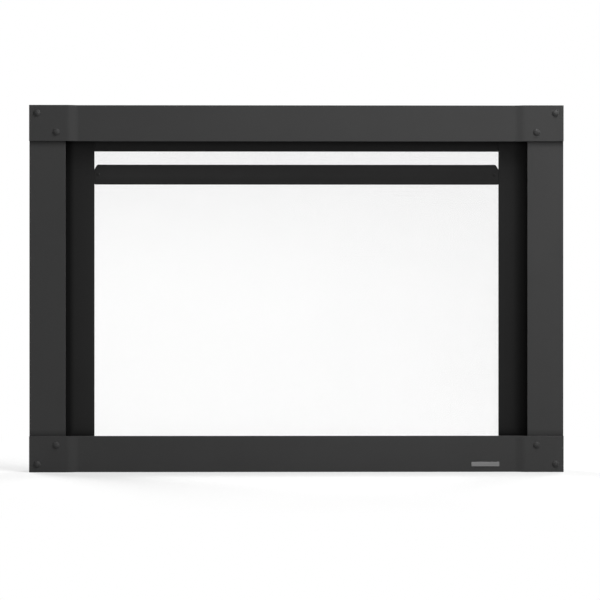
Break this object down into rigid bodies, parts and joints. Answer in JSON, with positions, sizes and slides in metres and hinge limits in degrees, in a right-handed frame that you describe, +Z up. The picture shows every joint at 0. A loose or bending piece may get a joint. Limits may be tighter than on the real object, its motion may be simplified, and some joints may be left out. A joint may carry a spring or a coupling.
{
  "type": "fireplace screen front",
  "caption": "Black riveted strap frame on a shallow back box, with a recessed inner frame, an air slot and a lift-out wire screen panel. It hangs on hooks.",
  "frame": {"origin": "on the rear mounting face, at the middle of its lower edge", "axes": "+X to the right seen from the front, +Y to the back towards the fireplace, +Z up"},
  "size_m": [1.066, 0.0796, 0.732],
  "materials": {
    "strap": "satin black powder coat",
    "sheet": "matt black paint",
    "screen_frame": "matt black paint",
    "cloth": "bare stainless wire, tinted by heat",
    "zinc": "bright zinc plate",
    "plate": "brushed and toned grey, blank"
  },
  "bodies": {
    "housing": {"top_rail": "strap", "bottom_rail": "strap", "left_stile": "strap", "right_stile": "strap", "outer_rivets": "strap", "inner_rivets": "strap", "strap_studs": "zinc", "strap_nuts": "zinc", "left_skirt": "sheet", "right_skirt": "sheet", "top_skirt": "sheet", "bottom_skirt": "sheet", "skirt_rivets": "sheet", "left_jamb": "sheet", "right_jamb": "sheet", "header_panel": "sheet", "sill_panel": "sheet", "crossbar": "sheet", "crossbar_rivets": "sheet", "panel_screws": "zinc", "left_guide": "sheet", "right_guide": "sheet", "left_rest": "sheet", "right_rest": "sheet", "left_hanger": "sheet", "right_hanger": "sheet", "hanger_screws": "zinc", "nameplate": "plate"},
    "screen_panel": {"screen_mesh": "cloth", "screen_left_channel": "screen_frame", "screen_right_channel": "screen_frame", "screen_top_channel": "screen_frame", "screen_bottom_channel": "screen_frame", "left_lift_tab": "screen_frame", "right_lift_tab": "screen_frame"}
  },
  "joints": [
    {"name": "screen_lift", "type": "slide", "parent": "housing", "child": "screen_panel", "axis": [0, 0, 1], "range_m": [0, 0.58]}
  ]
}
